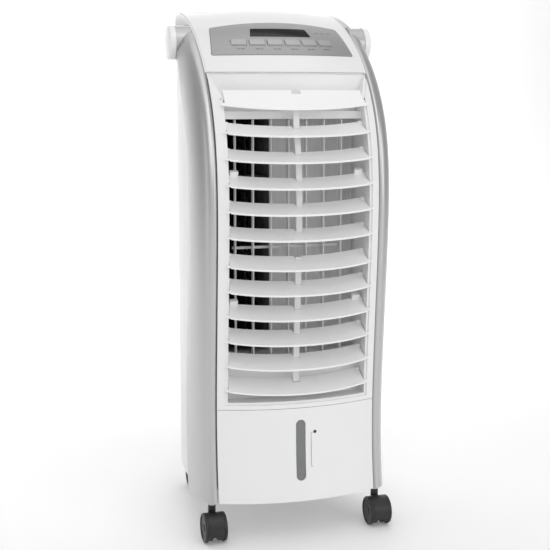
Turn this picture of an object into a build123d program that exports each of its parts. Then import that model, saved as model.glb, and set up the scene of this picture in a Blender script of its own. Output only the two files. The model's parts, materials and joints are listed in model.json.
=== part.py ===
"""Evaporative air cooler on casters: body shells, two louver banks, swinging vanes,
cross-flow fan, cooling pad with its pump, sliding water tank, keypad and casters.

Millimetres. +Z up, front towards -Y, origin on the floor under the middle of the body.
"""

import os
from math import atan2, cos, degrees, radians, sin

from build123d import *

# ---------------------------------------------------------------- driving dimensions

SKIRT_Z = 50.0            # lower edge of the front panel and the pillars
SHELL_Z = 69.0            # lower edge of the rear shell
REAR_Y = 146.0            # rear face
HALF_FRONT = 105.6        # half width of the bowed front and top
SEAM = 0.6                # gap between neighbouring covers
WALL = 2.4                # moulded wall

PILLAR_X = HALF_FRONT + SEAM
NOSE_R = 4.2              # round at the pillar's inner edge
PILLAR_WIDTH = 25.8       # how far a pillar stands out past the front
SIDE_X = 131.2            # half width of the rear shell where it meets the pillars
TAPER_Y = -50.0           # the shell narrows towards the back from here

# Side view of the pillar's inner edge, from the skirt over the shoulder to the top:
# (y, z, crown of the front across the width, depth of the pillar)
EDGE = [
    (-121.6, 42, 20, 64),
    (-111.6, 155, 20, 63),
    (-116.8, 265, 20, 57),
    (-124.6, 385, 20, 51),
    (-124.4, 465, 20, 50),
    (-109.0, 535, 19, 47),
    (-67.0, 600, 17, 42),
    (-17.0, 641.5, 15, 39),
    (40.0, 669, 11, 37),
    (100.0, 681.0, 3, 35),
]

PANEL_TOP = 172.0         # seam between the lower panel and the grille frame
COVER_Z = 597.0           # lower edge of the top cover
COVER_REAR = 100.0        # the top cover ends here, the rear shell goes on

OPENING_X = 92.2          # half width of the air outlet
SILL_Z = 181.0            # bottom of the air outlet
STILE_TOP = 566.0         # the stiles are bevelled from here up to the top cover
RIM_REAR = -58.0          # back edge of the outlet's side walls

LOUVER_PITCH = 32.1
UPPER_TIPS = 556.2        # height of the top louver's tips
LOWER_TIPS = 359.7        # height of the seventh louver's tips
BANK = 6                  # louvers in each bank
UPPER_TILT = 20.0
CROWN_SLOPE = 46.0        # slope of the top louver at rest
CROWN_PIVOT = Vector(0, -95.8, 562.8)
LOWER_TILT = 24.0
TIP_REACH = 25.0          # pivot to tip
TIP_PROUD = 7.5           # tips stand this far in front of the pillar's edge
LOUVER_BOW = 20.0         # the lip is this much further out in the middle
BLADE_X = 91.0
EAR_X = 97.2
PIN_R = 1.5
BORE_R = 1.6
LINK_REACH = 13.0         # louver pivot to link pin

VANES = 7
VANE_PITCH = 23.7
VANE_Y = -74.0
VANE_LOW = 233.5
VANE_HIGH = 537.5
VANE_CHORD = 20.0
VANE_REST = 10.0          # degrees that the vanes are turned at rest
VANE_LINK_Z = 373.0
VANE_LINK_REACH = 8.0

FAN_X, FAN_Y, FAN_R = -34.0, 24.0, 48.0
FAN_LOW, FAN_HIGH = 231.0, 540.0
VOLUTE_FLOOR = 222.0
VOLUTE_TOP = 548.0

HANDLE_Y, HANDLE_Z, HANDLE_R = 15.0, 636.0, 22.2
NOTCH_R = HANDLE_R + 0.7   # the covers stop this far from the handle's axis
HANDLE_END = 130.2        # where the white cap starts
CAP_END = 140.6
DOME_R = 130.0

TANK_X = 92.0
TANK_FRONT = -108.0
TANK_LOW, TANK_HIGH = 69.0, 168.0

GRILLE_X = 72.0           # rear intake, half width
GRILLE_LOW, GRILLE_HIGH = 204.0, 556.0

FASCIA_SLOPE = 34.0
BUTTONS = 6
BUTTON_PITCH = 23.1
STEM_FOOT = 0.0
KEY_Z = 634.2              # height of the row of keys
KEYPAD_CROWN = 15.5        # crown of the top across the keypad

CASTER_R = 19.0
CASTER_TRAIL = 11.0
SOCKET_R = 4.9
SOCKET_Z = 45.6
CASTERS = {
    "front_left": (-112.3, -106.3),
    "front_right": (112.3, -106.3),
    "rear_left": (-84.0, 112.0),
    "rear_right": (84.0, 112.0),
}

os.makedirs("parts", exist_ok=True)


def save(part, name):
    """Label a finished piece and write it."""
    part.label = name
    export_step(part, f"parts/{name}.step")


# ---------------------------------------------------------------- shared surfaces

edge_line = Spline(*[(0, y, z) for y, z, _, _ in EDGE])


def edge_plane(y, z):
    """Plane across the edge line: local x is +X, local y points into the body."""
    along = edge_line.tangent_at(Vector(0, y, z))
    return Plane(origin=(0, y, z), x_dir=(1, 0, 0), z_dir=along)


def edge_y(z):
    """The edge line's y at a height below the shoulder."""
    return edge_line.find_intersection_points(Axis((0, -400, z), (0, 1, 0)))[0].Y


# Every section in EDGE, and one more half way between each two.
STATIONS = []
for (_, z, crown, depth), (_, next_z, next_crown, next_depth) in zip(EDGE, EDGE[1:]):
    middle = (z + next_z) / 2
    STATIONS.append((edge_y(z + 0.001), z + 0.001, crown, depth))
    STATIONS.append((edge_y(middle), middle, (crown + next_crown) / 2, (depth + next_depth) / 2))
STATIONS.append(EDGE[-1])


def skin(front, back):
    """Bowed sheet between two depths under the outer surface of the front and top."""
    with BuildPart() as sheet:
        for y, z, crown, _ in STATIONS:
            with BuildSketch(edge_plane(y, z)):
                with BuildLine():
                    outside = ThreePointArc(
                        (-HALF_FRONT, front), (0, front - crown), (HALF_FRONT, front)
                    )
                    inside = ThreePointArc(
                        (-HALF_FRONT, back), (0, back - crown), (HALF_FRONT, back)
                    )
                    Line(outside @ 0, inside @ 0)
                    Line(outside @ 1, inside @ 1)
                make_face()
        loft()
    return sheet.part


def pillar_block(wall):
    """Block inside the right pillar, a wall's thickness under its surface.

    Its section is a quarter ellipse with a small round at the inner edge.
    """
    start = PILLAR_X + NOSE_R
    with BuildPart() as block:
        for y, z, _, depth in STATIONS:
            with BuildSketch(edge_plane(y, z)):
                with BuildLine():
                    rim = EllipticalCenterArc(
                        (start, depth),
                        PILLAR_WIDTH - NOSE_R - wall,
                        depth - wall,
                        start_angle=270,
                        arc_size=90,
                    )
                    nose = TangentArc(rim @ 0, (PILLAR_X + wall, NOSE_R), tangent=(-1, 0))
                    if wall:
                        behind = (rim @ 1) + Vector(0, 2)
                        Polyline(nose @ 1, (PILLAR_X + wall, depth + 2), behind, rim @ 1)
                    else:
                        Polyline(nose @ 1, (PILLAR_X, depth), rim @ 1)
                make_face()
        loft()
    return block.part


def zone(low_x, high_x, front, back, follow=True):
    """Block along the edge line between two depths; the rear one follows the pillar's depth."""
    with BuildPart() as block:
        for y, z, _, depth in STATIONS:
            deep = depth + back if follow else back
            with BuildSketch(edge_plane(y, z)):
                with Locations(((low_x + high_x) / 2, (front + deep) / 2)):
                    Rectangle(high_x - low_x, deep - front)
        loft()
    return block.part


def body_prism(grow):
    """The body's plan outline, grown by a margin, over the whole height."""
    rear = REAR_Y + grow
    with BuildPart() as prism:
        with BuildSketch():
            with BuildLine():
                side = Line((SIDE_X + grow, -200), (SIDE_X + grow, TAPER_Y))
                flank = TangentArc(side @ 1, (104 + grow, 95), tangent=side % 1)
                heading = flank % 1
                corner = Line(flank @ 1, flank @ 1 + heading * ((rear - 95) / heading.Y))
                Line(corner @ 1, (0, rear))
                Line((0, -200), side @ 0)
                mirror(about=Plane.YZ)
            make_face()
            fillet([v for v in vertices() if v.Y > rear - 1 and abs(v.X) > 1], 28 + grow)
        extrude(amount=720)
    return prism.part


def brick(low, high, mode=Mode.ADD):
    """A box between two corners, in the part being built."""
    with Locations(low):
        Box(*[b - a for a, b in zip(low, high)], align=(Align.MIN,) * 3, mode=mode)


def rod(radius, start, end, axis="Z", mode=Mode.ADD):
    """A round bar between two points along one row axis, in the part being built."""
    turn = {"X": (0, 90, 0), "Y": (-90, 0, 0), "Z": (0, 0, 0)}[axis]
    length = sum(b - a for a, b in zip(start, end))
    with Locations(Location(start, turn)):
        Cylinder(radius, length, align=(Align.CENTER, Align.CENTER, Align.MIN), mode=mode)


outer_skin = skin(0, 3)
deep_skin = skin(0.6, 60)
outer_plan = body_prism(0)
inner_plan = body_prism(-WALL)

# ---------------------------------------------------------------- pillars and handles

with BuildPart() as pillar_hollow:
    add(pillar_block(WALL))
    add(body_prism(-1.4), mode=Mode.INTERSECT)

with BuildPart() as right_pillar:
    add(pillar_block(0))
    add(body_prism(1.0), mode=Mode.INTERSECT)
    add(pillar_hollow.part, mode=Mode.SUBTRACT)
    brick((90, -200, 0), (150, 200, SKIRT_Z), mode=Mode.SUBTRACT)
    brick((90, -112, 0), (PILLAR_X + 2.6, 200, SHELL_Z + 3), mode=Mode.SUBTRACT)
    notch_x = PILLAR_X + 2.6
    rod(NOTCH_R, (notch_x, HANDLE_Y, HANDLE_Z), (160, HANDLE_Y, HANDLE_Z), "X", Mode.SUBTRACT)
    rod(12.4, (100, HANDLE_Y, HANDLE_Z), (120, HANDLE_Y, HANDLE_Z), "X", Mode.SUBTRACT)
save(right_pillar.part, "right_pillar")

with BuildPart() as left_pillar:
    add(mirror(right_pillar.part, about=Plane.YZ))
save(left_pillar.part, "left_pillar")

with BuildPart() as side_handles:
    with BuildSketch(Plane.XY) as handle_section:
        inner_x = PILLAR_X + 3.0
        Polygon(
            (inner_x, 0), (inner_x, HANDLE_R), (HANDLE_END, HANDLE_R),
            (HANDLE_END, HANDLE_R - WALL), (inner_x + 3, HANDLE_R - WALL), (inner_x + 3, 0),
            align=None,
        )
        Polygon((98, 0), (98, 12), (inner_x + 1, 12), (inner_x + 1, 0), align=None)
    revolve(axis=Axis.X)
    mirror(about=Plane.YZ)
with BuildPart() as placed_handles:
    with Locations((0, HANDLE_Y, HANDLE_Z)):
        add(side_handles.part)
save(placed_handles.part, "side_handles")

with BuildPart() as cap_shapes:
    with BuildSketch(Plane.XY) as cap_section:
        lip_r = HANDLE_R + 0.6
        plug_r = HANDLE_R - WALL - 0.2
        with BuildLine():
            dome = CenterArc((CAP_END - DOME_R, 0), DOME_R, 0, 9.2)
            ring = Polyline(
                dome @ 0, (HANDLE_END + 2.2, 0), (HANDLE_END + 2.2, plug_r - 2),
                (HANDLE_END - 8, plug_r - 2), (HANDLE_END - 8, plug_r), (HANDLE_END + 0.2, plug_r),
                (HANDLE_END + 0.2, lip_r), (CAP_END - 4.5, lip_r),
            )
            TangentArc(ring @ 1, dome @ 1, tangent=(1, 0))
        make_face()
    revolve(axis=Axis.X)
    mirror(about=Plane.YZ)
with BuildPart() as handle_caps:
    with Locations((0, HANDLE_Y, HANDLE_Z)):
        add(cap_shapes.part)
save(handle_caps.part, "handle_caps")

# ---------------------------------------------------------------- rear shell and base


def shell_side(inset):
    """Side view of the rear shell, extruded across the body."""
    top = EDGE[-1][1] - inset
    with BuildPart() as side:
        with BuildSketch(Plane.YZ):
            with BuildLine():
                Polyline(
                    (-90, SHELL_Z - 2 * inset), (REAR_Y - inset, SHELL_Z - 2 * inset),
                    (REAR_Y - inset, top), (COVER_REAR, top), (40, 650), (-20, 615),
                    (-70, 565), (-100, 480), (-100, 380), (-90, SHELL_Z - 2 * inset),
                )
            make_face()
            fillet([v for v in vertices() if v.Y > 600 and v.X > COVER_REAR + 1], 42 - inset)
        extrude(amount=150, both=True)
    return side.part


with BuildPart() as shell_hollow:
    add(inner_plan)
    add(shell_side(WALL), mode=Mode.INTERSECT)

with BuildPart() as under_cover:
    add(inner_plan)
    brick((-104, -200, 500), (104, COVER_REAR - 1.9, 720), Mode.INTERSECT)

with BuildPart() as cover_opening:
    add(skin(-40, 3.5))
    brick((-HALF_FRONT - 0.4, -200, 560), (HALF_FRONT + 0.4, COVER_REAR + 0.5, 760), Mode.INTERSECT)
    add(under_cover.part)

pillar_zone = zone(PILLAR_X - 0.4, 160, -80, 0.5)

BOSSES = [(x, z) for x in (-60, 60) for z in (187, 600)]

with BuildPart() as rear_shell:
    add(outer_plan)
    add(shell_side(0), mode=Mode.INTERSECT)
    add(shell_hollow.part, mode=Mode.SUBTRACT)
    for x, z in BOSSES:
        rod(4.6, (x, REAR_Y - 18, z), (x, REAR_Y - 1, z), "Y")
    brick((-11, REAR_Y - 12, 180), (11, REAR_Y - 1, 194))
    add(pillar_zone, mode=Mode.SUBTRACT)
    add(mirror(pillar_zone, about=Plane.YZ), mode=Mode.SUBTRACT)
    add(cover_opening.part, mode=Mode.SUBTRACT)
    for side in (-1, 1):
        start, end = sorted((side * (PILLAR_X + 2.6), side * 160))
        rod(NOTCH_R, (start, HANDLE_Y, HANDLE_Z), (end, HANDLE_Y, HANDLE_Z), "X", Mode.SUBTRACT)
    brick(
        (-GRILLE_X, REAR_Y - 10, GRILLE_LOW), (GRILLE_X, REAR_Y + 5, GRILLE_HIGH), Mode.SUBTRACT
    )
    brick((-TANK_X - 0.8, 40, 60), (TANK_X + 0.8, REAR_Y + 5, TANK_HIGH + 0.8), Mode.SUBTRACT)
    brick((-9, REAR_Y - 10, 182), (9, REAR_Y + 5, 192), Mode.SUBTRACT)
    for x, z in BOSSES:
        rod(3.8, (x, REAR_Y - 2.4, z), (x, REAR_Y + 5, z), "Y", Mode.SUBTRACT)
        rod(1.7, (x, REAR_Y - 16, z), (x, REAR_Y, z), "Y", Mode.SUBTRACT)
save(rear_shell.part, "rear_shell")

with BuildPart() as screws:
    for x, z in BOSSES:
        rod(3.5, (x, REAR_Y - 2.3, z), (x, REAR_Y - 0.5, z), "Y")
        rod(1.5, (x, REAR_Y - 14, z), (x, REAR_Y - 2, z), "Y")
        brick((x - 0.5, REAR_Y - 1.3, z - 2.4), (x + 0.5, REAR_Y, z + 2.4), Mode.SUBTRACT)
        brick((x - 2.4, REAR_Y - 1.3, z - 0.5), (x + 2.4, REAR_Y, z + 0.5), Mode.SUBTRACT)
save(screws.part, "screws")

with BuildPart() as base:
    with BuildSketch(Plane.XY.offset(SHELL_Z - 5)):
        Polygon(
            (-104, -106), (104, -106), (114, -100), (122, -78), (126, -50), (126, 150),
            (-126, 150), (-126, -50), (-122, -78), (-114, -100), align=None,
        )
    extrude(amount=4)
    add(body_prism(-4), mode=Mode.INTERSECT)
    for x, y in CASTERS.values():
        rod(SOCKET_R, (x, y, SOCKET_Z), (x, y, SHELL_Z - 2))
    for side in (-1, 1):
        low, high = sorted((side * 93.2, side * 96.2))
        brick((low, -98, SHELL_Z - 2), (high, 92, SHELL_Z + 8))
    for x, y in CASTERS.values():
        rod(3.1, (x, y, 40), (x, y, SKIRT_Z + 13), mode=Mode.SUBTRACT)
save(base.part, "base")

# ---------------------------------------------------------------- front and top covers

fascia_plane = Plane(
    origin=(0, -18, 638),
    x_dir=(1, 0, 0),
    z_dir=(0, -sin(radians(FASCIA_SLOPE)), cos(radians(FASCIA_SLOPE))),
)


def on_slope(x, z):
    """Where the outer surface's point at a width and a height falls on the keypad's plane."""
    bulge = KEYPAD_CROWN * (1 - (x / HALF_FRONT) ** 2)
    level = z
    for _ in range(5):
        along = edge_line.tangent_at(Vector(0, edge_y(level), level))
        level = z - bulge * along.Y
    y = edge_y(level) - bulge * along.Z
    slope = radians(FASCIA_SLOPE)
    return x, (y - fascia_plane.origin.Y) * cos(slope) + (z - fascia_plane.origin.Z) * sin(slope)


def arched_prism(bottom, top, peak, corner, grow):
    """Outline between two level lines on the bowed top, square to the slope.

    bottom and top are (half width, height); peak is the top's height in the middle.
    """
    with BuildPart() as prism:
        with BuildSketch(fascia_plane):
            with BuildLine():
                low = ThreePointArc(
                    on_slope(-bottom[0], bottom[1]), on_slope(0, bottom[1]), on_slope(*bottom)
                )
                high = ThreePointArc(on_slope(-top[0], top[1]), on_slope(0, peak), on_slope(*top))
                Line(low @ 0, high @ 0)
                Line(low @ 1, high @ 1)
            make_face()
            fillet(vertices(), corner)
            if grow:
                offset(amount=grow)
        extrude(amount=40, both=True)
    return prism.part


def fascia_prism(grow):
    """Keypad outline with its arched top."""
    return arched_prism((95.0, 617.6), (86.5, 654.0), 662.6, 3, grow)


def display_prism(grow):
    """Display outline."""
    return arched_prism((41.0, 641.6), (37.0, 652.6), 653.2, 1.2, grow)


def key_place(index):
    """A key's middle on the keypad's plane, and how far it is turned to follow the row."""
    x = (index - (BUTTONS - 1) / 2) * BUTTON_PITCH
    (_, left), (_, middle), (_, right) = [on_slope(x + dx, KEY_Z) for dx in (-8, 0, 8)]
    return (x, middle), degrees(atan2(right - left, 16))


def button_prism(index, grow):
    """One key's outline, square to the sloping top."""
    place, turn = key_place(index)
    with BuildPart() as prism:
        with BuildSketch(fascia_plane):
            with Locations(place):
                RectangleRounded(19.4 + 2 * grow, 11.4 + 2 * grow, 1.4 + grow, rotation=turn)
        extrude(amount=40, both=True)
    return prism.part


with BuildPart() as top_cover:
    add(outer_skin)
    brick((-110, -200, COVER_Z), (110, COVER_REAR, 720), Mode.INTERSECT)
    add(body_prism(-0.3), mode=Mode.INTERSECT)
    add(fascia_prism(0.4), mode=Mode.SUBTRACT)

with BuildPart() as handle_skirts:
    add(deep_skin)
    brick((HALF_FRONT - 3, -20, 603), (HALF_FRONT, 52, 700), Mode.INTERSECT)
    mirror(about=Plane.YZ)
    rod(12.4, (-120, HANDLE_Y, HANDLE_Z), (120, HANDLE_Y, HANDLE_Z), "X", Mode.SUBTRACT)

with BuildPart() as finished_cover:
    add(top_cover.part)
    add(handle_skirts.part)
save(finished_cover.part, "top_cover")

with BuildPart() as display_recess:
    add(skin(-4, 1.9))
    add(display_prism(0.15), mode=Mode.INTERSECT)

with BuildPart() as control_fascia:
    add(skin(-0.9, 3))
    add(fascia_prism(0), mode=Mode.INTERSECT)
    add(display_recess.part, mode=Mode.SUBTRACT)
    for index in range(BUTTONS):
        add(button_prism(index, 0.35), mode=Mode.SUBTRACT)
save(control_fascia.part, "control_fascia")

with BuildPart() as display_window:
    add(skin(-0.5, 1.8))
    add(display_prism(0), mode=Mode.INTERSECT)
save(display_window.part, "display_window")

key_skin = skin(-1.3, 3.2)
stem_skin = skin(2.4, 40)
for index in range(BUTTONS):
    with BuildPart() as stem:
        with BuildSketch(fascia_plane.offset(STEM_FOOT)):
            with Locations(key_place(index)[0]):
                Circle(2.5)
        extrude(amount=40)
        add(stem_skin, mode=Mode.INTERSECT)
    with BuildPart() as button:
        add(key_skin)
        add(button_prism(index, 0), mode=Mode.INTERSECT)
        add(stem.part)
    save(button.part, f"button_{index + 1}")

with BuildPart() as control_board:
    with BuildSketch(fascia_plane.offset(STEM_FOOT - 4.8)):
        with Locations((0, -10)):
            Rectangle(150, 46)
    extrude(amount=1.6)
    with BuildSketch(fascia_plane.offset(STEM_FOOT - 3.2)):
        with Locations(*[key_place(index)[0] for index in range(BUTTONS)]):
            Rectangle(6, 6)
    extrude(amount=1.6)
save(control_board.part, "control_board")


def stadium(width, height, middle_z):
    """Upright round-ended slot through the front panel."""
    with BuildPart() as prism:
        with BuildSketch(Plane.XZ.offset(90)):
            with Locations((0, middle_z)):
                SlotOverall(height, width, rotation=90)
        extrude(amount=80)
    return prism.part


WINDOW_Z = 116.0

with BuildPart() as lower_front_panel:
    add(outer_skin)
    brick((-110, -200, SKIRT_Z), (110, 0, PANEL_TOP - SEAM), Mode.INTERSECT)
    add(stadium(13, 80, WINDOW_Z), mode=Mode.SUBTRACT)
save(lower_front_panel.part, "lower_front_panel")

with BuildPart() as window_flange:
    add(skin(3.3, 4.6))
    add(stadium(18, 86, WINDOW_Z), mode=Mode.INTERSECT)

with BuildPart() as level_window:
    add(skin(1.0, 4.0))
    add(stadium(12.6, 79.6, WINDOW_Z), mode=Mode.INTERSECT)
    add(window_flange.part)
save(level_window.part, "level_window")

# ---------------------------------------------------------------- louvers


def pivot(index):
    """Pivot point and rest tilt of a louver, counted from the top, from 0."""
    if index == 0:
        return CROWN_PIVOT, UPPER_TILT
    upper = index < BANK
    tilt = UPPER_TILT if upper else LOWER_TILT
    tips = UPPER_TIPS - index * LOUVER_PITCH if upper else LOWER_TIPS - (index - BANK) * LOUVER_PITCH
    reach = radians(tilt)
    y = edge_y(tips) - TIP_PROUD + TIP_REACH * cos(reach)
    return Vector(0, y, tips + TIP_REACH * sin(reach)), tilt


def link_pin(index):
    """Where a louver's link pin stands at rest."""
    point, tilt = pivot(index)
    turned = Vector(0, -LINK_REACH, -1.8).rotate(Axis.X, tilt)
    return point + turned


def blade(tabs):
    """A louver lying flat, pivot on the X axis, lip towards -Y."""
    with BuildPart() as body:
        with BuildSketch(Plane.YZ):
            with BuildLine():
                top = ThreePointArc((5, 1.6), (-21.5, -1.0), (-48, 2.6))
                low = ThreePointArc((5, -0.8), (-21.5, -3.4), (-48, -0.4))
                Line(top @ 0, low @ 0)
                Line(top @ 1, low @ 1)
            make_face()
        extrude(amount=EAR_X + 3, both=True)
        with BuildSketch(Plane.XY):
            with BuildLine():
                lip = ThreePointArc(
                    (-EAR_X, -TIP_REACH), (0, -TIP_REACH - LOUVER_BOW), (EAR_X, -TIP_REACH)
                )
                Polyline(lip @ 1, (EAR_X, -TIP_REACH + 1.6), (BLADE_X, -TIP_REACH + 3.2), (BLADE_X, 3))
                ThreePointArc((BLADE_X, 3), (0, -8), (-BLADE_X, 3))
                Polyline((-BLADE_X, 3), (-BLADE_X, -TIP_REACH + 3.2), (-EAR_X, -TIP_REACH + 1.6), lip @ 0)
            make_face()
        extrude(amount=12, both=True, mode=Mode.INTERSECT)
        brick((-5, -17.6, -12), (5, 12, 12), Mode.SUBTRACT)
        for side in (-1, 1):
            start, end = sorted((side * BLADE_X, side * (EAR_X + 1)))
            brick((start, -40, -9), (end, 10, -2.4), Mode.SUBTRACT)
        if tabs:
            for side in (-1, 1):
                low_x, high_x = sorted((side * 77, side * 87))
                brick((low_x, -4, -0.6), (high_x, 1.5, 7.5))
        for side in (-1, 1):
            start, end = sorted((side * 86, side * BLADE_X))
            rod(2.6, (start, 0, 0), (end, 0, 0), "X")
            start, end = sorted((side * 88, side * 94.4))
            rod(PIN_R, (start, 0, 0), (end, 0, 0), "X")
        rod(1.2, (-6, -LINK_REACH, -1.8), (6, -LINK_REACH, -1.8), "X")
    return body.part


def top_blade():
    """The top louver: a crowned flap that carries on the line of the shoulder."""
    pin = Vector(0, -LINK_REACH, -1.8).rotate(Axis.X, UPPER_TILT - CROWN_SLOPE)
    with BuildPart() as flap:
        with BuildSketch(Plane.XZ):
            with BuildLine():
                top = ThreePointArc((-99, 3.2), (0, 14.0), (99, 3.2))
                low = ThreePointArc((-99, 0.8), (0, 11.6), (99, 0.8))
                Line(top @ 0, low @ 0)
                Line(top @ 1, low @ 1)
            make_face()
        extrude(amount=40, both=True)
        with BuildSketch(Plane.XY):
            with BuildLine():
                lip = ThreePointArc((-EAR_X, -12.5), (0, -30.5), (EAR_X, -12.5))
                Polyline(lip @ 1, (EAR_X, -11.3), (BLADE_X, -9.7), (BLADE_X, 11))
                ThreePointArc((BLADE_X, 11), (0, 2.5), (-BLADE_X, 11))
                Polyline((-BLADE_X, 11), (-BLADE_X, -9.7), (-EAR_X, -11.3), lip @ 0)
            make_face()
        extrude(amount=30, both=True, mode=Mode.INTERSECT)
        brick((-6, -4, -2), (6, 12, 22), Mode.SUBTRACT)
        for side in (-1, 1):
            start, end = sorted((side * 88.4, side * BLADE_X))
            brick((start, -5, -3), (end, 3, 4))
            rod(3, (start, 0, 0), (end, 0, 0), "X")
            start, end = sorted((side * 88.4, side * 94.4))
            rod(PIN_R, (start, 0, 0), (end, 0, 0), "X")
            start, end = sorted((side * 4.6, side * 6.6))
            brick((start, pin.Y - 2.4, pin.Z - 2.4), (end, pin.Y + 2.4, 12.4))
        rod(1.2, (-6, pin.Y, pin.Z), (6, pin.Y, pin.Z), "X")
        fillet([e for e in edges() if e.center().Y < -18 and e.length > 150], 1.0)
    return flap.part


plain_blade = blade(tabs=False)
tab_blade = blade(tabs=True)
crown_blade = top_blade()
TABBED = (3, 8)

for index in range(2 * BANK):
    point, tilt = pivot(index)
    shape = crown_blade if index == 0 else tab_blade if index in TABBED else plain_blade
    turn = CROWN_SLOPE if index == 0 else tilt
    with BuildPart() as louver:
        with Locations(Location(point, (turn, 0, 0))):
            add(shape)
    save(louver.part, f"louver_{index + 1:02d}")

for name, first in (("link_upper", 0), ("link_lower", BANK)):
    pins = [link_pin(index) for index in range(first, first + BANK)]
    with BuildPart() as link:
        with BuildSketch(Plane.YZ.offset(-3.8)):
            with BuildLine():
                Polyline(*[(pin.Y, pin.Z) for pin in pins])
            trace(line_width=3.6)
            with Locations(*[(pin.Y, pin.Z) for pin in pins]):
                Circle(2.5)
                Circle(1.3, mode=Mode.SUBTRACT)
        extrude(amount=7.6)
    save(link.part, name)

# ---------------------------------------------------------------- grille frame and vanes


def outlet(grow):
    """Outline of the air outlet from the front, bevelled out at the top of the stiles."""
    with BuildPart() as prism:
        with BuildSketch(Plane.XZ.offset(-RIM_REAR)):
            x = OPENING_X + grow
            Polygon(
                (-x, SILL_Z - grow), (x, SILL_Z - grow), (x, STILE_TOP - 0.5 * grow),
                (HALF_FRONT - 0.8 + grow, COVER_Z - 1), (HALF_FRONT - 0.8 + grow, COVER_Z + 20),
                (-HALF_FRONT + 0.8 - grow, COVER_Z + 20), (-HALF_FRONT + 0.8 - grow, COVER_Z - 1),
                (-x, STILE_TOP - 0.5 * grow), align=None,
            )
        extrude(amount=140)
    return prism.part


vane_xs = [(number - (VANES - 1) / 2) * VANE_PITCH for number in range(VANES)]
bar_front = -92.4

with BuildPart() as outlet_rim:
    add(deep_skin)
    add(outlet(2.5), mode=Mode.INTERSECT)
    add(outlet(0), mode=Mode.SUBTRACT)
    brick((-HALF_FRONT, -200, 100), (HALF_FRONT, RIM_REAR, COVER_Z - SEAM), Mode.INTERSECT)

with BuildPart() as scoop_wall:
    with BuildSketch(Plane.XY.offset(VOLUTE_TOP - 1)):
        with BuildLine():
            front = ThreePointArc((-104.6, -70), (0, -90), (104.6, -70))
            back = ThreePointArc((-104.6, -67.6), (0, -87.6), (104.6, -67.6))
            Line(front @ 0, back @ 0)
            Line(front @ 1, back @ 1)
        make_face()
    extrude(amount=COVER_Z - SEAM - VOLUTE_TOP + 1)
    add(skin(-20, 3.3), mode=Mode.SUBTRACT)

with BuildPart() as outlet_rebate:
    add(skin(-5, 2.0))
    add(outlet(3.6), mode=Mode.INTERSECT)

with BuildPart() as grille_frame:
    add(outer_skin)
    brick((-110, -200, PANEL_TOP), (110, 0, COVER_Z - SEAM), Mode.INTERSECT)
    add(outlet(0), mode=Mode.SUBTRACT)
    add(outlet_rim.part)
    brick((-94, bar_front, VANE_HIGH + 0.9), (94, RIM_REAR, VOLUTE_TOP))
    brick((-94, -90, VOLUTE_FLOOR), (94, RIM_REAR, VANE_LOW - 0.9))
    add(scoop_wall.part)
    with BuildSketch(Plane.YZ):
        Polygon((-98, SILL_Z - 1), (-90, 223), (-87.6, 223), (-95.6, SILL_Z - 1), align=None)
    extrude(amount=94, both=True)
    add(outlet_rebate.part, mode=Mode.SUBTRACT)
    for index in range(2 * BANK):
        point, _ = pivot(index)
        rod(BORE_R, (-96, point.Y, point.Z), (96, point.Y, point.Z), "X", Mode.SUBTRACT)
    for x in vane_xs:
        bottom = VANE_LOW - (15 if x == 0 else 5)
        rod(BORE_R, (x, VANE_Y, bottom), (x, VANE_Y, 300), mode=Mode.SUBTRACT)
        rod(BORE_R, (x, VANE_Y, 500), (x, VANE_Y, VANE_HIGH + 5), mode=Mode.SUBTRACT)
save(grille_frame.part, "grille_frame")

for number, x in enumerate(vane_xs):
    driven = x == 0
    with BuildPart() as vane:
        with Locations(Location((x, VANE_Y, VANE_LOW), (0, 0, -VANE_REST))):
            Box(1.7, VANE_CHORD, VANE_HIGH - VANE_LOW, align=(Align.CENTER, Align.CENTER, Align.MIN))
            with Locations((0, VANE_LINK_REACH + 1, VANE_LINK_Z - VANE_LOW)):
                Box(6, 10, 10, mode=Mode.SUBTRACT)
            with Locations((0, VANE_LINK_REACH, VANE_LINK_Z - VANE_LOW)):
                Cylinder(1.2, 12)
            with Locations((0, 0, -(16 if driven else 3.6))):
                Cylinder(
                    PIN_R, VANE_HIGH - VANE_LOW + 3.6 + (16 if driven else 3.6),
                    align=(Align.CENTER, Align.CENTER, Align.MIN),
                )
    save(vane.part, f"vane_{number + 1}")

link_dx = VANE_LINK_REACH * sin(radians(VANE_REST))
link_dy = VANE_LINK_REACH * cos(radians(VANE_REST))
with BuildPart() as vane_link:
    with BuildSketch(Plane.XY.offset(VANE_LINK_Z - 1.6)):
        with Locations((link_dx, VANE_Y + link_dy)):
            SlotOverall(2 * vane_xs[-1] + 7, 5.4)
            with GridLocations(VANE_PITCH, 1, VANES, 1):
                Circle(1.3, mode=Mode.SUBTRACT)
    extrude(amount=3.2)
save(vane_link.part, "vane_link")

with BuildPart() as swing_motor:
    rod(12, (0, VANE_Y, 207), (0, VANE_Y, VOLUTE_FLOOR))
    brick((-17.5, VANE_Y - 3.5, VOLUTE_FLOOR - 2), (17.5, VANE_Y + 3.5, VOLUTE_FLOOR))
    rod(BORE_R, (0, VANE_Y, 216), (0, VANE_Y, VOLUTE_FLOOR + 1), mode=Mode.SUBTRACT)
save(swing_motor.part, "swing_motor")

# ---------------------------------------------------------------- fan

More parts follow.
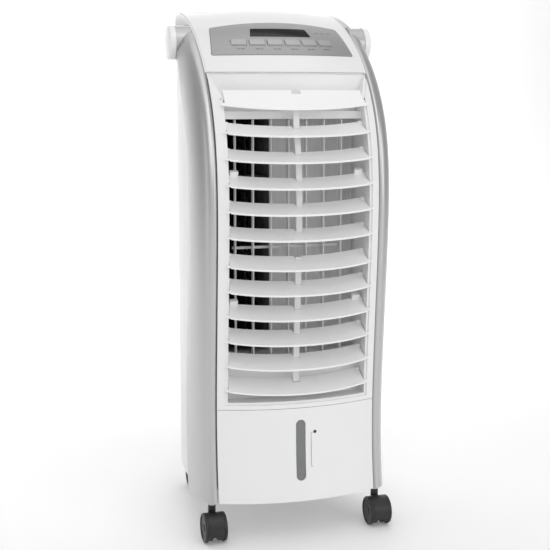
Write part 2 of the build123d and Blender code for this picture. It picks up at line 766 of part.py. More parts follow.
with BuildPart() as impeller:
    with BuildSketch(Plane.XY.offset(FAN_LOW)):
        with PolarLocations(FAN_R - 5.5, 24):
            Rectangle(10, 1.3, rotation=38)
    extrude(amount=FAN_HIGH - FAN_LOW)
    ring_zs = [FAN_LOW + step * (FAN_HIGH - FAN_LOW - 2.4) / 4 for step in range(5)]
    for z in ring_zs:
        rod(FAN_R - 0.3, (0, 0, z), (0, 0, z + 2.4))
    for z in ring_zs[1:-1]:
        rod(FAN_R - 12, (0, 0, z - 1), (0, 0, z + 4), mode=Mode.SUBTRACT)
    rod(4, (0, 0, VOLUTE_FLOOR + 0.8), (0, 0, FAN_LOW))
    rod(4, (0, 0, FAN_HIGH), (0, 0, 562))
with BuildPart() as placed_impeller:
    with Locations((FAN_X, FAN_Y, 0)):
        add(impeller.part)
save(placed_impeller.part, "impeller")

VOLUTE_PLAN = [
    (-94, RIM_REAR), (94, RIM_REAR), (94, -44), (62, -12), (30, 20), (24, 62), (-34, 84), (-94, 52),
]

with BuildPart() as fan_volute:
    with BuildSketch(Plane.XY.offset(VOLUTE_FLOOR)) as volute_floor:
        Polygon(*VOLUTE_PLAN, align=None)
    extrude(amount=4)
    with BuildSketch(Plane.XY.offset(VOLUTE_TOP - 3)):
        Polygon(*VOLUTE_PLAN, align=None)
    extrude(amount=3)
    with BuildSketch(Plane.XY.offset(VOLUTE_FLOOR + 2)) as volute_walls:
        with BuildLine() as tongue:
            clear = FAN_R + 5
            hook = CenterArc((FAN_X, FAN_Y), clear, -4, -50)
            ThreePointArc(hook @ 1, (46, -24), (92.8, RIM_REAR))
        trace(line_width=2)
        with BuildLine() as left_wall:
            side = Line((-92.6, RIM_REAR), (-92.2, FAN_Y - 6))
            ThreePointArc(side @ 1, (-80, FAN_Y + 37), (-48, FAN_Y + 54))
        trace(line_width=2)
    extrude(amount=VOLUTE_TOP - VOLUTE_FLOOR - 4)
    brick((-120, RIM_REAR, 200), (120, 120, 600), Mode.INTERSECT)
    rod(4.08, (FAN_X, FAN_Y, 200), (FAN_X, FAN_Y, 300), mode=Mode.SUBTRACT)
    rod(8, (FAN_X, FAN_Y, 500), (FAN_X, FAN_Y, 600), mode=Mode.SUBTRACT)
save(fan_volute.part, "fan_volute")

with BuildPart() as fan_motor:
    rod(36, (FAN_X, FAN_Y, VOLUTE_TOP), (FAN_X, FAN_Y, 554))
    rod(30, (FAN_X, FAN_Y, 553), (FAN_X, FAN_Y, 588))
    fillet(edges().group_by(Axis.Z)[-1], 5)
    rod(4.08, (FAN_X, FAN_Y, 540), (FAN_X, FAN_Y, 566), mode=Mode.SUBTRACT)
save(fan_motor.part, "fan_motor")

# ---------------------------------------------------------------- intake, pad and water

with BuildPart() as rear_grille:
    low, high = GRILLE_LOW + 0.4, GRILLE_HIGH - 0.4
    half = GRILLE_X - 0.4
    brick((-half, REAR_Y - 5, low), (half, REAR_Y - 0.6, high))
    brick((-half + 7, REAR_Y - 8, low + 7), (half - 7, REAR_Y + 2, high - 7), Mode.SUBTRACT)
    slats = 19
    spacing = (high - low - 14) / (slats + 1)
    with BuildSketch(Plane.YZ.offset(-half + 6)):
        for step in range(1, slats + 1):
            z = low + 7 + step * spacing
            Polygon(
                (REAR_Y - 1, z - 3.4), (REAR_Y - 1, z - 1.6), (REAR_Y - 5, z + 3.2),
                (REAR_Y - 5, z + 1.4), align=None,
            )
    extrude(amount=2 * half - 12)
    for x in (-22, 22):
        brick((x - 1.5, REAR_Y - 5, low + 6), (x + 1.5, REAR_Y - 2, high - 6))
    for side in (-1, 1):
        start, end = sorted((side * (half - 1.3), side * half))
        brick((start, REAR_Y - 30, low), (end, REAR_Y - 4, high))
    brick((-half, REAR_Y - 30, low), (half, REAR_Y - 4, low + 1.4))
save(rear_grille.part, "rear_grille")

with BuildPart() as cooling_pad:
    brick((-70, 116, 206), (70, 139, 554))
save(cooling_pad.part, "cooling_pad")

with BuildPart() as water_trough:
    brick((-71.6, 108, GRILLE_HIGH - 0.4), (71.6, 139.5, 573))
    brick((-69.6, 110, GRILLE_HIGH + 1.6), (69.6, 137.5, 580), Mode.SUBTRACT)
save(water_trough.part, "water_trough")

PUMP_X, PUMP_Y = 68.0, 103.0
HOSE_X, HOSE_Y = 78.0, 114.0

with BuildPart() as pump:
    with BuildSketch(Plane.XY.offset(72.5)):
        with Locations((PUMP_X, PUMP_Y)):
            RectangleRounded(34, 32, 4)
    extrude(amount=38)
    fillet(edges().group_by(Axis.Z)[-1], 2)
    rod(3.1, (HOSE_X, HOSE_Y, 109), (HOSE_X, HOSE_Y, 122))
    for step in range(5):
        x = PUMP_X - 13 + 6 * step
        brick((x, PUMP_Y - 17, 76), (x + 2.5, PUMP_Y - 14, 96), Mode.SUBTRACT)
save(pump.part, "pump")

with BuildPart() as riser_hose:
    with BuildLine(Plane.XZ.offset(-HOSE_Y)) as route:
        rise = Line((HOSE_X, 111), (HOSE_X, 568))
        bend = TangentArc(rise @ 1, (HOSE_X - 13, 581), tangent=(0, 1))
        Line(bend @ 1, (HOSE_X - 21, 581))
    with BuildSketch(Plane((HOSE_X, HOSE_Y, 111))):
        Circle(4.4)
        Circle(3.2, mode=Mode.SUBTRACT)
    sweep(path=route.line)
save(riser_hose.part, "riser_hose")

tank_inside = body_prism(-2.6)

with BuildPart() as tank_hollow:
    brick((-TANK_X + 2.6, TANK_FRONT + 2.6, TANK_LOW + 2.6), (TANK_X - 2.6, 150, TANK_HIGH + 5))
    add(tank_inside, mode=Mode.INTERSECT)

with BuildPart() as water_tank:
    brick((-TANK_X, TANK_FRONT, TANK_LOW), (TANK_X, REAR_Y + 2, TANK_HIGH))
    add(outer_plan, mode=Mode.INTERSECT)
    add(tank_hollow.part, mode=Mode.SUBTRACT)
    brick((-42.6, REAR_Y - 14, 127.4), (42.6, REAR_Y - 1, 158.6))
    brick((-40, REAR_Y - 11.5, 130), (40, REAR_Y + 5, 156), Mode.SUBTRACT)
save(water_tank.part, "water_tank")

# ---------------------------------------------------------------- casters

AXLE = (-CASTER_TRAIL, CASTER_R)
HOOD_INSIDE = CASTER_R - 1.1


def drum(radius, half_width, mode=Mode.ADD):
    """Cylinder round the caster's axle line."""
    with Locations(Location((0, *AXLE), (0, 90, 0))):
        Cylinder(radius, 2 * half_width, mode=mode)


with BuildPart() as hood:
    drum(CASTER_R, 10.4)
    with BuildSketch(Plane.YZ):
        with Locations(AXLE):
            Polygon((-60, -30), (0, 0), (60, 0), (60, -60), (-60, -60), align=None)
    extrude(amount=12, both=True, mode=Mode.SUBTRACT)
    rod(5.0, (0, 0, 20), (0, 0, 45))
    drum(HOOD_INSIDE, 12, Mode.SUBTRACT)
    with BuildSketch(Plane.YZ):
        with Locations(AXLE):
            Circle(HOOD_INSIDE + 0.4)
            Rectangle(60, 20, align=(Align.CENTER, Align.MAX), mode=Mode.SUBTRACT)
            Circle(6)
    extrude(amount=3.4, both=True)
    rod(3.0, (0, 0, 44), (0, 0, 61))
    drum(2.15, 12, Mode.SUBTRACT)

with BuildPart() as wheels:
    with BuildSketch(Plane.XY) as wheel_section:
        with BuildLine():
            Polyline(
                (3.9, 0), (3.9, CASTER_R - 1.7), (10.8, CASTER_R - 1.7), (10.8, CASTER_R),
                (13.0, CASTER_R), (14.0, CASTER_R - 0.4), (14.4, CASTER_R - 1.4), (14.4, 15.6),
                (13.4, 14.8), (13.0, 5.0), (13.8, 4.2), (13.8, 0), (3.9, 0),
            )
        make_face()
    revolve(axis=Axis.X)
    mirror(about=Plane.YZ)
    rod(2.0, (-5, 0, 0), (5, 0, 0), "X")

for corner, (x, y) in CASTERS.items():
    with BuildPart() as placed_hood:
        with Locations((x, y, 0)):
            add(hood.part)
    save(placed_hood.part, f"caster_hood_{corner}")
    with BuildPart() as placed_wheels:
        with Locations((x, y + AXLE[0], AXLE[1])):
            add(wheels.part)
    save(placed_wheels.part, f"caster_wheels_{corner}")
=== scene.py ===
"""Studio view of the evaporative cooler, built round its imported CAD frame. Metres."""

import json
from math import atan, cos, pi, radians, sin

import bmesh
import bpy
from mathutils import Euler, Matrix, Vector
from mathutils.bvhtree import BVHTree


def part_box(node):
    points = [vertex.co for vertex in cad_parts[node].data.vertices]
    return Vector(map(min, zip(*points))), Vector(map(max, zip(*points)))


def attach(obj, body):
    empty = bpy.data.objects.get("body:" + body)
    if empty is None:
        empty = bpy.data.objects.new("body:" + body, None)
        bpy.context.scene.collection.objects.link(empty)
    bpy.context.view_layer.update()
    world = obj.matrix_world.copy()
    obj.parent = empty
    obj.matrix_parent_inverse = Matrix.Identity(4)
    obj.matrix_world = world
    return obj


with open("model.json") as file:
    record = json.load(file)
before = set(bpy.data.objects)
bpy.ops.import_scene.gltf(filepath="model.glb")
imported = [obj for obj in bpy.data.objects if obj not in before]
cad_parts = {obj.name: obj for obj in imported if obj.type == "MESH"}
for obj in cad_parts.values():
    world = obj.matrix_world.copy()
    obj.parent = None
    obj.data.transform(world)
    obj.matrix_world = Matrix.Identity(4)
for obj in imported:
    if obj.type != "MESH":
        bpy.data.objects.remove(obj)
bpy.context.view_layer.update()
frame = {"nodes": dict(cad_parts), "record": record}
nodes = frame["nodes"]
scene = bpy.context.scene


# ---------------------------------------------------------------- materials


# Nearly all of a noise texture's values lie between these two
NOISE_LOW = 0.25
NOISE_HIGH = 0.75


class Recipe:
    """A node tree with a Principled shader and short ways to feed it."""

    def __init__(self, name, metallic=0.0, coat=0.0, coat_rough=0.08, ior=1.48, sheen=0.0):
        self.material = bpy.data.materials.new(name)
        self.material.use_nodes = True
        self.tree = self.material.node_tree
        self.shader = self.tree.nodes["Principled BSDF"]
        self.shader.inputs["Metallic"].default_value = metallic
        self.shader.inputs["Coat Weight"].default_value = coat
        self.shader.inputs["Coat Roughness"].default_value = coat_rough
        self.shader.inputs["IOR"].default_value = ior
        self.shader.inputs["Sheen Weight"].default_value = sheen
        self.place = self.tree.nodes.new("ShaderNodeTexCoord").outputs["Object"]
        self.relief = None

    def link(self, a, b):
        self.tree.links.new(a, b)

    def stretched(self, scale):
        """Object coordinates scaled per axis."""
        mapping = self.tree.nodes.new("ShaderNodeMapping")
        mapping.inputs["Scale"].default_value = scale
        self.link(self.place, mapping.inputs["Vector"])
        return mapping.outputs["Vector"]

    def noise(self, scale, detail=3.0, stretch=None):
        node = self.tree.nodes.new("ShaderNodeTexNoise")
        node.inputs["Scale"].default_value = scale
        node.inputs["Detail"].default_value = detail
        self.link(self.stretched(stretch) if stretch else self.place, node.inputs["Vector"])
        return node.outputs["Fac"]

    def wave(self, scale, direction, distortion=0.0, profile="SIN"):
        node = self.tree.nodes.new("ShaderNodeTexWave")
        node.bands_direction = direction
        node.wave_profile = profile
        node.inputs["Scale"].default_value = scale
        node.inputs["Distortion"].default_value = distortion
        self.link(self.place, node.inputs["Vector"])
        return node.outputs["Fac"]

    def cells(self, scale):
        node = self.tree.nodes.new("ShaderNodeTexVoronoi")
        node.inputs["Scale"].default_value = scale
        self.link(self.place, node.inputs["Vector"])
        return node.outputs["Distance"]

    def ramp(self, source, low, high, start=0.3, end=0.7):
        """A colour between two, by a source from start to end."""
        node = self.tree.nodes.new("ShaderNodeValToRGB")
        node.color_ramp.elements[0].position = start
        node.color_ramp.elements[0].color = (*low, 1)
        node.color_ramp.elements[1].position = end
        node.color_ramp.elements[1].color = (*high, 1)
        self.link(source, node.inputs["Fac"])
        return node.outputs["Color"]

    def colour(self, source):
        self.link(source, self.shader.inputs["Base Color"])

    def roughness(self, source, low, high):
        node = self.tree.nodes.new("ShaderNodeMapRange")
        node.inputs["From Min"].default_value = NOISE_LOW
        node.inputs["From Max"].default_value = NOISE_HIGH
        node.inputs["To Min"].default_value = low
        node.inputs["To Max"].default_value = high
        self.link(source, node.inputs["Value"])
        self.link(node.outputs["Result"], self.shader.inputs["Roughness"])

    def bump(self, source, depth, strength=1.0):
        """One more layer of relief, depth in metres, over those before it."""
        node = self.tree.nodes.new("ShaderNodeBump")
        node.inputs["Strength"].default_value = strength
        node.inputs["Distance"].default_value = depth
        self.link(source, node.inputs["Height"])
        if self.relief:
            self.link(self.relief, node.inputs["Normal"])
        self.relief = node.outputs["Normal"]
        self.link(self.relief, self.shader.inputs["Normal"])


# The depth of the moulded surfaces' texture
GLOSSY_GRAIN = 0.000006
FINE_GRAIN = 0.000008
PLAIN_GRAIN = 0.000012
ROUGH_GRAIN = 0.00003


def moulded(name, low, high, rough=(0.3, 0.38), grain=PLAIN_GRAIN, coat=0.0):
    """Injection-moulded plastic: slow flow shades, a fine spark-eroded grain and faint sink marks."""
    recipe = Recipe(name, coat=coat)
    recipe.colour(recipe.ramp(recipe.noise(5, 1), low, high))
    recipe.roughness(recipe.noise(8, 1), *rough)
    recipe.bump(recipe.noise(2600, 2), grain)
    recipe.bump(recipe.noise(12, 1), grain * 3, 0.3)
    return recipe.material


def painted(name, low, high, metallic=0.75, rough=(0.3, 0.36), coat=0.35):
    """Sprayed silver paint on plastic: metal flakes, slight orange peel, a satin clear coat."""
    recipe = Recipe(name, metallic=metallic, coat=coat, coat_rough=0.22)
    recipe.colour(recipe.ramp(recipe.cells(4200), low, high, 0.05, 0.75))
    recipe.roughness(recipe.noise(900, 2), *rough)
    recipe.bump(recipe.noise(700, 2), 0.00001)
    recipe.bump(recipe.noise(40, 2), 0.00003, 0.5)
    return recipe.material


def grey(value, tint=0.0):
    """A grey, with a little more blue in it by the tint."""
    return (value, value, value * (1 + tint))


LOOKS = {
    "cover_white": moulded(
        "cover_white_look", grey(0.855, 0.004), grey(0.87, 0.006), (0.3, 0.33), FINE_GRAIN, coat=0.06
    ),
    "louver_white": moulded(
        "louver_white_look", grey(0.92, 0.004), grey(0.94, 0.006), (0.42, 0.46), GLOSSY_GRAIN
    ),
    "link_white": moulded("link_white_look", grey(0.82), grey(0.86), (0.36, 0.46)),
    "vane_white": moulded("vane_white_look", grey(0.78), grey(0.84), (0.34, 0.42)),
    "cap_white": moulded("cap_white_look", grey(0.85), grey(0.88), (0.12, 0.2), GLOSSY_GRAIN, coat=0.3),
    "grille_white": moulded("grille_white_look", grey(0.8), grey(0.85), (0.26, 0.34)),
    "tank_grey": moulded("tank_look", grey(0.74, 0.01), grey(0.8, 0.015), (0.26, 0.36)),
    "trough_grey": moulded("trough_look", grey(0.5), grey(0.56), (0.4, 0.5)),
    "base_grey": moulded("base_look", grey(0.66), grey(0.72), (0.36, 0.46), ROUGH_GRAIN),
    "hood_black": moulded("hood_look", grey(0.012), grey(0.022), (0.3, 0.4), ROUGH_GRAIN),
    "swing_black": moulded("swing_motor_look", grey(0.02), grey(0.035), (0.4, 0.5)),
    "pump_black": moulded("pump_look", grey(0.018), grey(0.03), (0.32, 0.45), ROUGH_GRAIN),
    "impeller_black": moulded("impeller_look", grey(0.01), grey(0.018), (0.3, 0.42)),
    "pillar_silver": painted("pillar_look", grey(0.5, 0.01), grey(0.59, 0.01), 0.85, (0.34, 0.38)),
    "handle_silver": painted("handle_look", grey(0.46, 0.012), grey(0.54, 0.012)),
    "fascia_silver": painted("fascia_look", grey(0.33, 0.01), grey(0.4, 0.01), 0.5, (0.36, 0.44)),
    "key_silver": painted("key_look", grey(0.4, 0.01), grey(0.48, 0.01), 0.5, (0.32, 0.4)),
}


def wheel_look():
    """Nylon wheels, scuffed by the floor."""
    recipe = Recipe("wheel_look")
    recipe.colour(recipe.ramp(recipe.noise(90, 5), grey(0.012), grey(0.03)))
    recipe.roughness(recipe.noise(140, 4), 0.34, 0.52)
    recipe.bump(recipe.noise(1500, 3), 0.00003)
    return recipe.material


def volute_look():
    """The fan's duct, with upright streaks left by water and dust."""
    recipe = Recipe("volute_look")
    streaks = recipe.noise(30, 3, (9, 9, 0.5))
    recipe.colour(recipe.ramp(streaks, grey(0.8, 0.008), grey(0.88, 0.008)))
    recipe.roughness(streaks, 0.3, 0.5)
    recipe.bump(recipe.noise(60, 2, (12, 12, 0.3)), 0.0002, 0.5)
    recipe.bump(recipe.noise(2200, 2), 0.00002)
    return recipe.material


def display_look():
    """A smoked display window over a dark screen."""
    recipe = Recipe("display_look", ior=1.3)
    recipe.colour(recipe.ramp(recipe.noise(30, 2), (0.006, 0.006, 0.008), (0.012, 0.013, 0.016)))
    recipe.roughness(recipe.noise(200, 2), 0.08, 0.14)
    return recipe.material


def window_painted_shade_look():
    """A clear level window, with shallow ribs across it; its dark grey is painted shade, the dim inside of
    the tank seen through it.
    """
    recipe = Recipe("level_window_look", coat=0.5, coat_rough=0.05)
    # painted shade: the dim tank inside, seen through the clear window
    recipe.colour(recipe.ramp(recipe.noise(18, 3, (1, 1, 0.4)), (0.15, 0.152, 0.155), (0.2, 0.202, 0.206)))
    recipe.roughness(recipe.noise(90, 2), 0.12, 0.2)
    recipe.bump(recipe.wave(160, "Z"), 0.00005, 0.3)
    return recipe.material


def pad_painted_shade_look():
    """Corrugated paper: slanted flutes, with painted shade darkening the valleys, and stained fibres."""
    recipe = Recipe("pad_painted_shade_look", sheen=0.15)
    flutes = recipe.wave(42, "DIAGONAL", 1.2)
    # painted shade: the colour goes dark in the valleys of the corrugation
    recipe.colour(recipe.ramp(flutes, (0.12, 0.065, 0.03), (0.42, 0.27, 0.14), 0.15, 0.85))
    recipe.roughness(recipe.noise(300, 4), 0.75, 0.95)
    recipe.bump(flutes, 0.0025)
    recipe.bump(recipe.noise(1400, 4), 0.0002)
    return recipe.material


def motor_look():
    """Galvanised steel, with its spangle."""
    recipe = Recipe("motor_look", metallic=0.9)
    recipe.colour(recipe.ramp(recipe.cells(160), (0.36, 0.365, 0.37), (0.55, 0.55, 0.54), 0.1, 0.8))
    recipe.roughness(recipe.noise(120, 3), 0.3, 0.5)
    recipe.bump(recipe.noise(500, 2), 0.00002)
    return recipe.material


def steel_look():
    """Plated screws."""
    recipe = Recipe("screw_look", metallic=1.0)
    recipe.colour(recipe.ramp(recipe.noise(400, 3), (0.45, 0.45, 0.46), (0.62, 0.62, 0.62)))
    recipe.roughness(recipe.noise(1800, 2), 0.22, 0.4)
    recipe.bump(recipe.noise(3000, 2), 0.00001)
    return recipe.material


def board_look():
    """A circuit board: green lacquer over copper tracks."""
    recipe = Recipe("board_look", coat=0.4, coat_rough=0.15)
    tracks = recipe.wave(220, "X", 3.0, "SAW")
    recipe.colour(recipe.ramp(tracks, (0.01, 0.09, 0.035), (0.03, 0.2, 0.08), 0.4, 0.6))
    recipe.roughness(recipe.noise(300, 2), 0.25, 0.4)
    recipe.bump(tracks, 0.00004)
    return recipe.material


def hose_look():
    """Milky vinyl hose, faintly ribbed."""
    recipe = Recipe("hose_look", coat=0.2)
    recipe.colour(recipe.ramp(recipe.noise(50, 3), (0.5, 0.53, 0.54), (0.62, 0.64, 0.65)))
    recipe.roughness(recipe.noise(200, 3), 0.25, 0.4)
    recipe.bump(recipe.wave(300, "Z", 0.4), 0.00008, 0.4)
    return recipe.material


LOOKS |= {
    "wheel_black": wheel_look(),
    "volute_grey": volute_look(),
    "display_black": display_look(),
    "window_grey": window_painted_shade_look(),
    "pad_brown": pad_painted_shade_look(),
    "motor_steel": motor_look(),
    "screw_steel": steel_look(),
    "board_green": board_look(),
    "hose_grey": hose_look(),
}

for entry in frame["record"]["subparts"]:
    node = nodes[entry["node"]]
    node.data.materials.clear()
    node.data.materials.append(LOOKS[entry["material_slot"]])


LIP_ROUND = 0.0007                  # rounds the edges of the louvers
SHARP_EDGE = radians(50)            # an edge that turns further than this is rounded


def soften(names):
    """Rounds the sharp edges of moulded nodes, which keep their own meshes."""
    for name in names:
        bevel = nodes[name].modifiers.new("moulded_edge", "BEVEL")
        bevel.width = LIP_ROUND
        bevel.segments = 2
        bevel.limit_method = "ANGLE"
        bevel.angle_limit = SHARP_EDGE


soften([f"louver_{number:02d}" for number in range(2, 13)])


# ---------------------------------------------------------------- printed marks and painted shade lines


def ink(name, low, high):
    """Screen-printed ink: slightly uneven, satin."""
    recipe = Recipe(name)
    recipe.colour(recipe.ramp(recipe.noise(900, 3), low, high))
    recipe.roughness(recipe.noise(700, 2), 0.4, 0.55)
    recipe.bump(recipe.noise(2000, 2), 0.00001)
    return recipe.material


# grey for printed words, and for the painted shade lines under and beside the keys
PRINT_AND_SHADE_GREY = ink("print_and_painted_shade_grey_look", grey(0.1), grey(0.15))
INK_DARK = ink("ink_dark_look", grey(0.03), grey(0.05))
INK_PALE = ink("ink_pale_look", grey(0.28), grey(0.34))

OUT = Vector((0, -1, 0))            # out of the front
INK_LIFT = 0.00012                  # the ink's top stands this far out of its surface
INK_DEPTH = 1.6                     # the ink's whole depth, in lifts, so that it has no gap under it
INK_CROWN = 0.55                    # the size of each mark's inner outline
FROM_AFAR = 0.2                     # how far out a ray starts on its way in
CORNER_STEPS = 4                    # the sides of each rounded corner


def placed(name, mesh, material):
    """A Blender object from a finished bmesh, with one material."""
    data = bpy.data.meshes.new(name)
    mesh.to_mesh(data)
    mesh.free()
    data.materials.append(material)
    thing = bpy.data.objects.new(name, data)
    scene.collection.objects.link(thing)
    return thing


def fixed(name, mesh, material):
    """A piece made of a closed bmesh, which rides on the housing."""
    bmesh.ops.recalc_face_normals(mesh, faces=mesh.faces)
    piece = placed(name, mesh, material)
    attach(piece, "housing")


def surface_of(node):
    """A CAD node's surface, for rays to land on."""
    mesh = nodes[node].data
    return BVHTree.FromPolygons([v.co for v in mesh.vertices], [p.vertices for p in mesh.polygons])


def outline(width, height, corner):
    """The points round a rectangle with rounded corners, about its middle."""
    corner = min(corner, width / 2, height / 2)
    points = []
    for quarter in range(4):
        cu = (width / 2 - corner) * (1 if quarter in (0, 3) else -1)
        cv = (height / 2 - corner) * (1 if quarter in (0, 1) else -1)
        for step in range(CORNER_STEPS + 1):
            turn = pi / 2 * (quarter + step / CORNER_STEPS)
            points.append((cu + corner * cos(turn), cv + corner * sin(turn)))
    return points


def printed(name, tree, marks, material):
    """Thin marks on a surface, seen from the front: ink, and on the keypad also lines of painted shade. A
    mark is (x, z, width, height, corner radius).
    """
    mesh = bmesh.new()
    lift = OUT * INK_LIFT
    for x, z, width, height, corner in marks:
        points = outline(width, height, corner)
        rings = []
        for scale in (1.0, INK_CROWN):
            ring = []
            for du, dv in points:
                start = Vector((x + du * scale, 0, z + dv * scale)) + OUT * FROM_AFAR
                hit = tree.ray_cast(start, -OUT)[0]
                ring.append(mesh.verts.new(hit + lift))
            rings.append(ring)
        base = [mesh.verts.new(vert.co - lift * INK_DEPTH) for vert in rings[0]]
        count = len(points)
        for index in range(count):
            following = (index + 1) % count
            for outer, inner in ((base, rings[0]), (rings[0], rings[1])):
                mesh.faces.new((outer[index], outer[following], inner[following], inner[index]))
        mesh.faces.new(rings[1])
        mesh.faces.new(base[::-1])
    fixed(name, mesh, material)


BAR_CORNER = 0.0002
KEY_DROP = 0.00486                  # from the first key's top down to the middle of the row
WORD_DROP = 0.008                   # from there down to the bars in place of words
WORD_GAP = 0.0012                   # between the two bars in place of one word
DOT = 0.0044                        # the full mark's diameter


def key_print_and_shade_marks():
    """Under each key two printed bars in place of a word, and a line of painted shade below it and at its
    left edge, where its gap lies in shade.
    """
    marks = []
    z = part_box("button_1")[1][2] - KEY_DROP
    for number in range(6):
        low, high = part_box(f"button_{number + 1}")
        x = (low[0] + high[0]) / 2
        widths = (0.006, 0.0026) if number % 2 else (0.0036, 0.005)
        start = x - (sum(widths) + WORD_GAP) / 2
        for width in widths:
            marks.append((start + width / 2, z - WORD_DROP, width, 0.0009, BAR_CORNER))
            start += width + WORD_GAP
        # painted shade: a dark line below the key and one at its left edge stand in for the shade in its
        # gap
        marks.append((x, z - 0.0039, 0.0192, 0.0005, BAR_CORNER))
        marks.append((x - 0.0105, z - 0.0001, 0.0006, 0.0064, BAR_CORNER))
    return marks


def display_marks():
    """Three bars in place of words, to the right of the display."""
    low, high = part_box("display_window")
    z = (low[2] + high[2]) / 2 + 0.0012
    return [(high[0] + 0.0112 + 0.009 * step, z, 0.005, 0.0008, BAR_CORNER) for step in range(3)]


low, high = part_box("level_window")
window_side = high[0]
window_middle = (low[2] + high[2]) / 2


def level_marks():
    """A bracket to the right of the level window, with a tick at its full end and at its empty end."""
    span = 0.045
    marks = [(window_side + 0.005, window_middle, 0.0005, span, BAR_CORNER)]
    for end in (1, -1):
        z = window_middle + end * (span / 2 - 0.0002)
        marks.append((window_side + 0.0062, z, 0.0024, 0.0006, BAR_CORNER))
    return marks


def full_mark():
    """The dot at the full end."""
    return [(window_side + 0.0103, window_middle + 0.0228, DOT, DOT, DOT / 2)]


fascia = surface_of("control_fascia")
panel = surface_of("lower_front_panel")
printed("keypad_print_and_painted_shade", fascia, key_print_and_shade_marks(), PRINT_AND_SHADE_GREY)
printed("display_marks", fascia, display_marks(), PRINT_AND_SHADE_GREY)
printed("full_mark", panel, full_mark(), INK_DARK)
printed("level_scale", panel, level_marks(), INK_PALE)


# ---------------------------------------------------------------- seals behind the seams


def seal(name, rings, material):
    """A closed strip through rings of four corners each, fixed to the housing."""
    mesh = bmesh.new()
    grid = [[mesh.verts.new(corner) for corner in ring] for ring in rings]
    for a, b in zip(grid, grid[1:]):
        for k in range(4):
            mesh.faces.new((a[k], a[(k + 1) % 4], b[(k + 1) % 4], b[k]))
    mesh.faces.new(grid[0])
    mesh.faces.new(grid[-1])
    fixed(name, mesh, material)


cover = surface_of("top_cover")
cover_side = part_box("top_cover")[1][0]
frame_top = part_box("grille_frame")[1][2]

FOOT_STEPS = 40
GROOVE_STEPS = 48
GROOVE_START = 0.512                # y + z of the first ray down to the cover's edge
GROOVE_SPAN = 0.25                  # y + z from the first ray to the last
DUCT_STEPS = 4
DUCT_FOOT, DUCT_TOP = 0.2325, 0.5385
DUCT_INNER, DUCT_OUTER = 0.0925, 0.0939     # X of the foam's two faces
DUCT_FRONT, DUCT_BACK = -0.0735, -0.0575    # Y of its two edges


def foot_seal():
    """Closes the gap under the top cover's front edge, 1 mm behind the skin."""
    rings = []
    for step in range(FOOT_STEPS + 1):
        x = (2 * step / FOOT_STEPS - 1) * (cover_side - 0.0012)
        hit = cover.ray_cast(Vector((x, -0.4, frame_top + 0.001)), Vector((0, 1, 0)))[0]
        corners = ((0.0008, -0.0026), (0.0022, -0.0026), (0.0052, 0.0008), (0.0038, 0.0008))
        rings.append([(x, hit.y + back, hit.z + rise) for back, rise in corners])
    seal("cover_foot_seal", rings, LOOKS["cover_white"])


def side_seal(side):
    """Closes the groove between the top cover and one pillar, from the cover's foot over the crown."""
    rings = []
    low_x, high_x = side * (cover_side - 0.0008), side * (cover_side + 0.002)
    for step in range(GROOVE_STEPS + 1):
        along = GROOVE_START + GROOVE_SPAN * step / GROOVE_STEPS
        start = Vector((side * (cover_side - 0.001), along / 2 - 0.6, along / 2 + 0.6))
        hit, normal = cover.ray_cast(start, Vector((0, 1, -1)).normalized())[:2]
        if hit is None or hit.z < frame_top:
            continue
        inward = -Vector((0, normal.y, normal.z)).normalized()
        near, far = hit + inward * 0.0014, hit + inward * 0.0044
        corners = ((low_x, near), (high_x, near), (high_x, far), (low_x, far))
        rings.append([(x, point.y, point.z) for x, point in corners])
    seal("cover_side_seal_" + ("right" if side > 0 else "left"), rings, LOOKS["cover_white"])


def duct_seal(side):
    """A foam strip that joins the grille frame's side wall to the fan's volute."""
    rings = []
    inner, outer = side * DUCT_INNER, side * DUCT_OUTER
    section = ((inner, DUCT_FRONT), (outer, DUCT_FRONT), (outer, DUCT_BACK), (inner, DUCT_BACK))
    for step in range(DUCT_STEPS + 1):
        z = DUCT_FOOT + (DUCT_TOP - DUCT_FOOT) * step / DUCT_STEPS
        rings.append([(x, y, z) for x, y in section])
    seal("duct_seal_" + ("right" if side > 0 else "left"), rings, LOOKS["volute_grey"])


foot_seal()
for side in (-1, 1):
    side_seal(side)
    duct_seal(side)


# ---------------------------------------------------------------- floor, light, camera


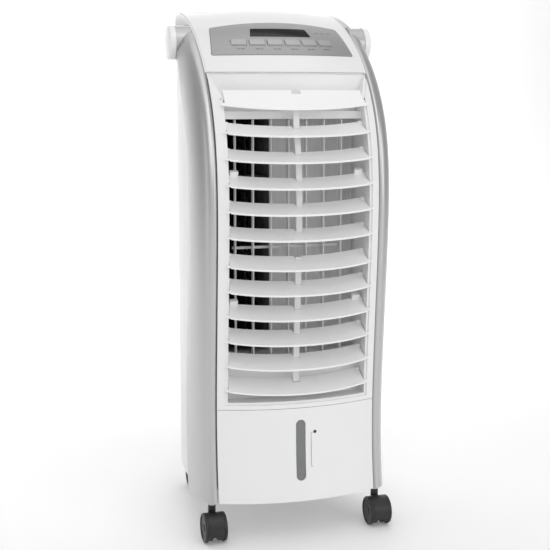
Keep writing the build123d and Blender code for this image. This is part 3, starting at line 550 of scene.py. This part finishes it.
def sweep():
    """A pale floor that curves up into a wall behind the object."""
    bend_start, bend = 2.2, 1.2
    rows = [(-9.0, 0.0), (-1.0, 0.0), (0.5, 0.0), (bend_start, 0.0)]
    for degrees in range(10, 91, 10):
        turn = radians(degrees)
        rows.append((bend_start + bend * sin(turn), bend - bend * cos(turn)))
    rows += [(bend_start + bend, 3.0), (bend_start + bend, 6.0)]
    mesh = bmesh.new()
    grid = [[mesh.verts.new((x, y, z)) for x in (-6, -2, 0, 2, 6)] for y, z in rows]
    for a, b in zip(grid, grid[1:]):
        for k in range(4):
            mesh.faces.new((a[k], a[k + 1], b[k + 1], b[k]))
    for face in mesh.faces:
        face.smooth = True
    recipe = Recipe("studio_look")
    recipe.colour(recipe.ramp(recipe.noise(1.5, 2), grey(0.94), grey(0.96)))
    recipe.roughness(recipe.noise(6, 2), 0.6, 0.7)
    recipe.shader.inputs["Emission Color"].default_value = (1, 1, 1, 1)
    recipe.shader.inputs["Emission Strength"].default_value = 0.07
    placed("studio_sweep", mesh, recipe.material)


def panel_light(name, place, aim, size, power, height=None):
    """A soft light, size wide and height tall, in watts, that faces its aim."""
    data = bpy.data.lights.new(name, "AREA")
    data.shape = "RECTANGLE"
    data.size = size
    data.size_y = height or size
    data.energy = power
    light = bpy.data.objects.new(name, data)
    light.location = place
    light.rotation_euler = (Vector(aim) - Vector(place)).to_track_quat("-Z", "Y").to_euler()
    scene.collection.objects.link(light)


MIDDLE = (0, 0, 0.35)               # about the middle of the object

sweep()
panel_light("key", (-0.7, -2.8, 1.7), MIDDLE, 1.8, 15.5)
panel_light("fill", (1.6, -2.3, 1.1), MIDDLE, 1.8, 14.5)
panel_light("left_strip", (-2.1, -0.75, 0.5), (-0.1, -0.1, 0.4), 0.5, 2.6, 2.2)
panel_light("front_high", (0, -1.7, 2.5), MIDDLE, 1.8, 8, 1.0)
panel_light("overhead", (0, -0.2, 2.6), (0, 0, 0), 2.2, 12)
panel_light("back_wall", (0, 1.6, 2.6), (0, 3.4, 1.0), 3.0, 64, 1.6)

world = bpy.data.worlds.new("studio_world")
world.use_nodes = True
world.node_tree.nodes["Background"].inputs["Color"].default_value = (1, 1, 1, 1)
world.node_tree.nodes["Background"].inputs["Strength"].default_value = 0.38
scene.world = world
scene.view_settings.view_transform = "Standard"

HALF_VIEW = 0.234642                # half the width that the camera sees, 1 m away
LOOKS_DOWN, LOOKS_RIGHT = 8.76, 16.57       # degrees

camera = bpy.data.cameras.new("camera")
camera.sensor_width = 36
camera.angle = 2 * atan(HALF_VIEW)
viewer = bpy.data.objects.new("camera", camera)
viewer.location = (-0.448, -1.521, 0.569)
viewer.rotation_euler = Euler((radians(90 - LOOKS_DOWN), 0, radians(-LOOKS_RIGHT)))
scene.collection.objects.link(viewer)
scene.camera = viewer
